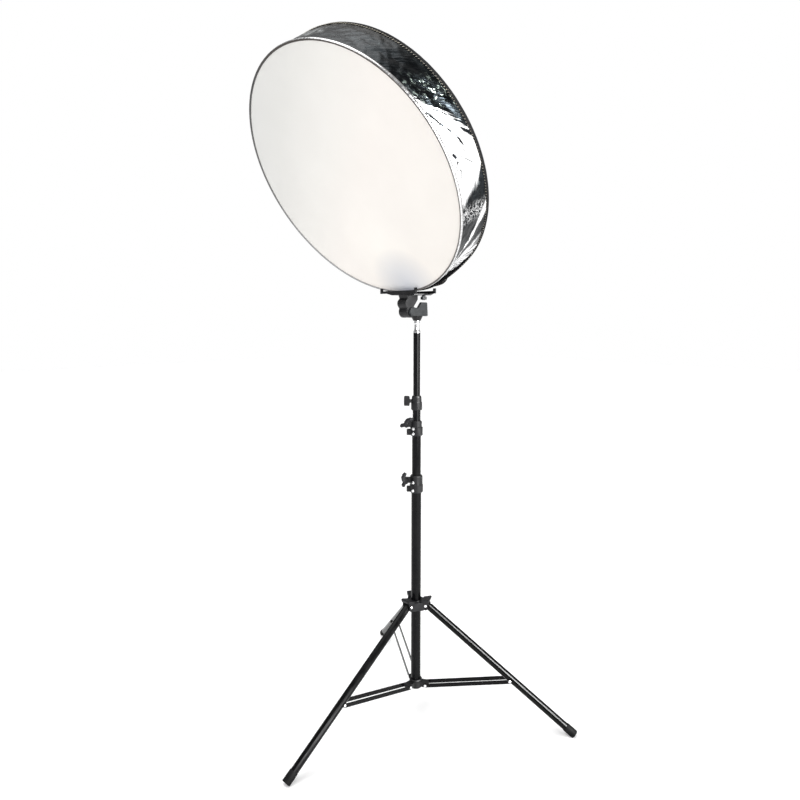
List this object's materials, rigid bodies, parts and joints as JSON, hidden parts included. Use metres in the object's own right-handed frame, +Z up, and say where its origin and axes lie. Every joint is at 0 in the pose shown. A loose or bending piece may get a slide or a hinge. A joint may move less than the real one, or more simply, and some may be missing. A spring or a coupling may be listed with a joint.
{
  "type": "collapsible reflector disc",
  "caption": "Shallow round fabric reflector drum with a white front, held by its lower rim on a tilting head, on a telescoping tripod light stand with folding legs.",
  "frame": {"origin": "on the floor, at the middle of the stand's and drum's bounding box seen from above; the mast's axis is 111 mm behind it", "axes": "+Z up; -Y is the front, where the disc faces, leaning 36 degrees down; +X is the disc's left as it faces out"},
  "size_m": [0.7998, 0.696, 1.7774],
  "materials": {
    "black_paint": "satin black paint on steel tube",
    "dark_plastic": "fine grained moulded plastic",
    "grey_plastic": "grey moulded plastic",
    "bright_steel": "polished",
    "spring_steel": "drawn flat spring strip",
    "black_rubber": "matt",
    "white_fabric": "thin translucent white cloth",
    "silver_fabric": "crinkled metallised cloth",
    "black_tape": "woven binding tape",
    "black_cloth": "coated black cloth",
    "clear_lens": "frosted"
  },
  "bodies": {
    "column": {"base_tube": "black_paint", "column_plug": "dark_plastic", "lower_collar": "dark_plastic", "collar_pin_front": "bright_steel", "collar_pin_right": "bright_steel", "collar_pin_left": "bright_steel", "clamp_lower": "dark_plastic", "clamp_rivet_lower_a": "bright_steel", "clamp_rivet_lower_b": "bright_steel"},
    "hub": {"hub_collar": "dark_plastic", "hub_pin_front": "bright_steel", "hub_pin_right": "bright_steel", "hub_pin_left": "bright_steel"},
    "hub_knob": {"hub_lock_knob": "dark_plastic"},
    "leg_front": {"leg_tube_front": "black_paint", "leg_foot_front": "black_rubber", "leg_knuckle_front": "dark_plastic"},
    "leg_right": {"leg_tube_right": "black_paint", "leg_foot_right": "black_rubber", "leg_knuckle_right": "dark_plastic"},
    "leg_left": {"leg_tube_left": "black_paint", "leg_foot_left": "black_rubber", "leg_knuckle_left": "dark_plastic"},
    "brace_front": {"brace_front_near": "black_paint", "brace_front_far": "black_paint"},
    "brace_right": {"brace_right_near": "black_paint", "brace_right_far": "black_paint"},
    "brace_left": {"brace_left_near": "black_paint", "brace_left_far": "black_paint"},
    "mast_lower": {"mast_lower_tube": "black_paint", "clamp_middle": "dark_plastic", "clamp_rivet_middle_a": "bright_steel", "clamp_rivet_middle_b": "bright_steel"},
    "mast_middle": {"mast_middle_tube": "black_paint", "clamp_upper": "dark_plastic"},
    "mast_upper": {"mast_upper_tube": "black_paint", "spigot": "bright_steel"},
    "lower_lever": {"lever_lower": "dark_plastic"},
    "middle_lever": {"lever_middle": "dark_plastic"},
    "upper_knob": {"knob_upper": "dark_plastic"},
    "swivel": {"head_socket": "dark_plastic", "socket_collar": "dark_plastic"},
    "socket_screw": {"socket_knob": "dark_plastic"},
    "tilting_head": {"tilt_block": "dark_plastic", "tilt_bolt": "bright_steel", "bracket_plate": "dark_plastic", "lamp_foot": "dark_plastic", "lamp_body": "dark_plastic", "lamp_lens": "clear_lens", "front_hoop": "spring_steel", "rear_hoop": "spring_steel", "front_binding": "black_tape", "rear_binding": "black_tape", "front_diffuser": "white_fabric", "side_wall": "silver_fabric", "rear_panel": "black_cloth", "pull_tab": "black_tape"},
    "tilt_handle": {"tilt_lever": "grey_plastic"},
    "bracket_screw": {"bracket_knob": "grey_plastic"}
  },
  "joints": [
    {"name": "hub_slide", "type": "slide", "parent": "column", "child": "hub", "axis": [0, 0, 1], "range_m": [0, 0.31183]},
    {"name": "leg_front_fold", "type": "hinge", "parent": "hub", "child": "leg_front", "pos_m": [0, 0.07957, 0.3261], "axis": [1, 0, 0], "range_deg": [0, 50]},
    {"name": "leg_right_fold", "type": "hinge", "parent": "hub", "child": "leg_right", "pos_m": [0.02728, 0.12682, 0.3261], "axis": [-0.5, 0.866, 0], "range_deg": [0, 50]},
    {"name": "leg_left_fold", "type": "hinge", "parent": "hub", "child": "leg_left", "pos_m": [-0.02728, 0.12682, 0.3261], "axis": [-0.5, -0.866, 0], "range_deg": [0, 50]},
    {"name": "brace_front_fold", "type": "hinge", "parent": "column", "child": "brace_front", "pos_m": [0, 0.07947, 0.0826], "axis": [-1, 0, 0], "range_deg": [0, 75.46]},
    {"name": "brace_right_fold", "type": "hinge", "parent": "column", "child": "brace_right", "pos_m": [0.02737, 0.12687, 0.0826], "axis": [0.5, -0.866, 0], "range_deg": [0, 75.46]},
    {"name": "brace_left_fold", "type": "hinge", "parent": "column", "child": "brace_left", "pos_m": [-0.02737, 0.12687, 0.0826], "axis": [0.5, 0.866, 0], "range_deg": [0, 75.46]},
    {"name": "mast_lower_slide", "type": "slide", "parent": "column", "child": "mast_lower", "axis": [0, 0, 1], "range_m": [-0.112, 0.36]},
    {"name": "mast_middle_slide", "type": "slide", "parent": "mast_lower", "child": "mast_middle", "axis": [0, 0, 1], "range_m": [-0.0295, 0.43]},
    {"name": "mast_upper_slide", "type": "slide", "parent": "mast_middle", "child": "mast_upper", "axis": [0, 0, 1], "range_m": [-0.2, 0.28]},
    {"name": "lever_lower_turn", "type": "hinge", "parent": "column", "child": "lower_lever", "pos_m": [-0.0198, 0.09127, 0.689], "axis": [0.7071, -0.7071, 0], "range_deg": [-90, 90]},
    {"name": "lever_middle_turn", "type": "hinge", "parent": "mast_lower", "child": "middle_lever", "pos_m": [-0.0198, 0.09127, 0.847], "axis": [0.7071, -0.7071, 0], "range_deg": [-60, 90]},
    {"name": "knob_upper_turn", "type": "hinge", "parent": "mast_middle", "child": "upper_knob", "pos_m": [-0.01414, 0.09693, 0.9124], "axis": [-0.7071, -0.7071, 0], "range_deg": [-180, 180]},
    {"name": "hub_knob_turn", "type": "hinge", "parent": "hub", "child": "hub_knob", "pos_m": [0, 0.14107, 0.323], "axis": [0, 1, 0], "range_deg": [-180, 180]},
    {"name": "head_pan", "type": "hinge", "parent": "mast_upper", "child": "swivel", "pos_m": [0, 0.11107, 1.15], "axis": [0, 0, 1], "continuous": true},
    {"name": "socket_screw_turn", "type": "hinge", "parent": "swivel", "child": "socket_screw", "pos_m": [-0.02, 0.11107, 1.1545], "axis": [-1, 0, 0], "range_deg": [-180, 180]},
    {"name": "tilt_head", "type": "hinge", "parent": "swivel", "child": "tilting_head", "pos_m": [0, 0.07407, 1.156], "axis": [1, 0, 0], "range_deg": [-32, 50]},
    {"name": "tilt_lever_turn", "type": "hinge", "parent": "tilting_head", "child": "tilt_handle", "pos_m": [0.0206, 0.07407, 1.156], "axis": [1, 0, 0], "range_deg": [-75, 0]},
    {"name": "bracket_screw_turn", "type": "hinge", "parent": "tilting_head", "child": "bracket_screw", "pos_m": [0.026, 0.11007, 1.195], "axis": [0, 0, 1], "range_deg": [-180, 180]}
  ],
  "couplings": [
    {"joint": "leg_front_fold", "follows": "hub_slide", "rad_per_m": 2.7985},
    {"joint": "leg_right_fold", "follows": "hub_slide", "rad_per_m": 2.7985},
    {"joint": "leg_left_fold", "follows": "hub_slide", "rad_per_m": 2.7985},
    {"joint": "brace_front_fold", "follows": "hub_slide", "rad_per_m": 4.2237},
    {"joint": "brace_right_fold", "follows": "hub_slide", "rad_per_m": 4.2237},
    {"joint": "brace_left_fold", "follows": "hub_slide", "rad_per_m": 4.2237}
  ]
}
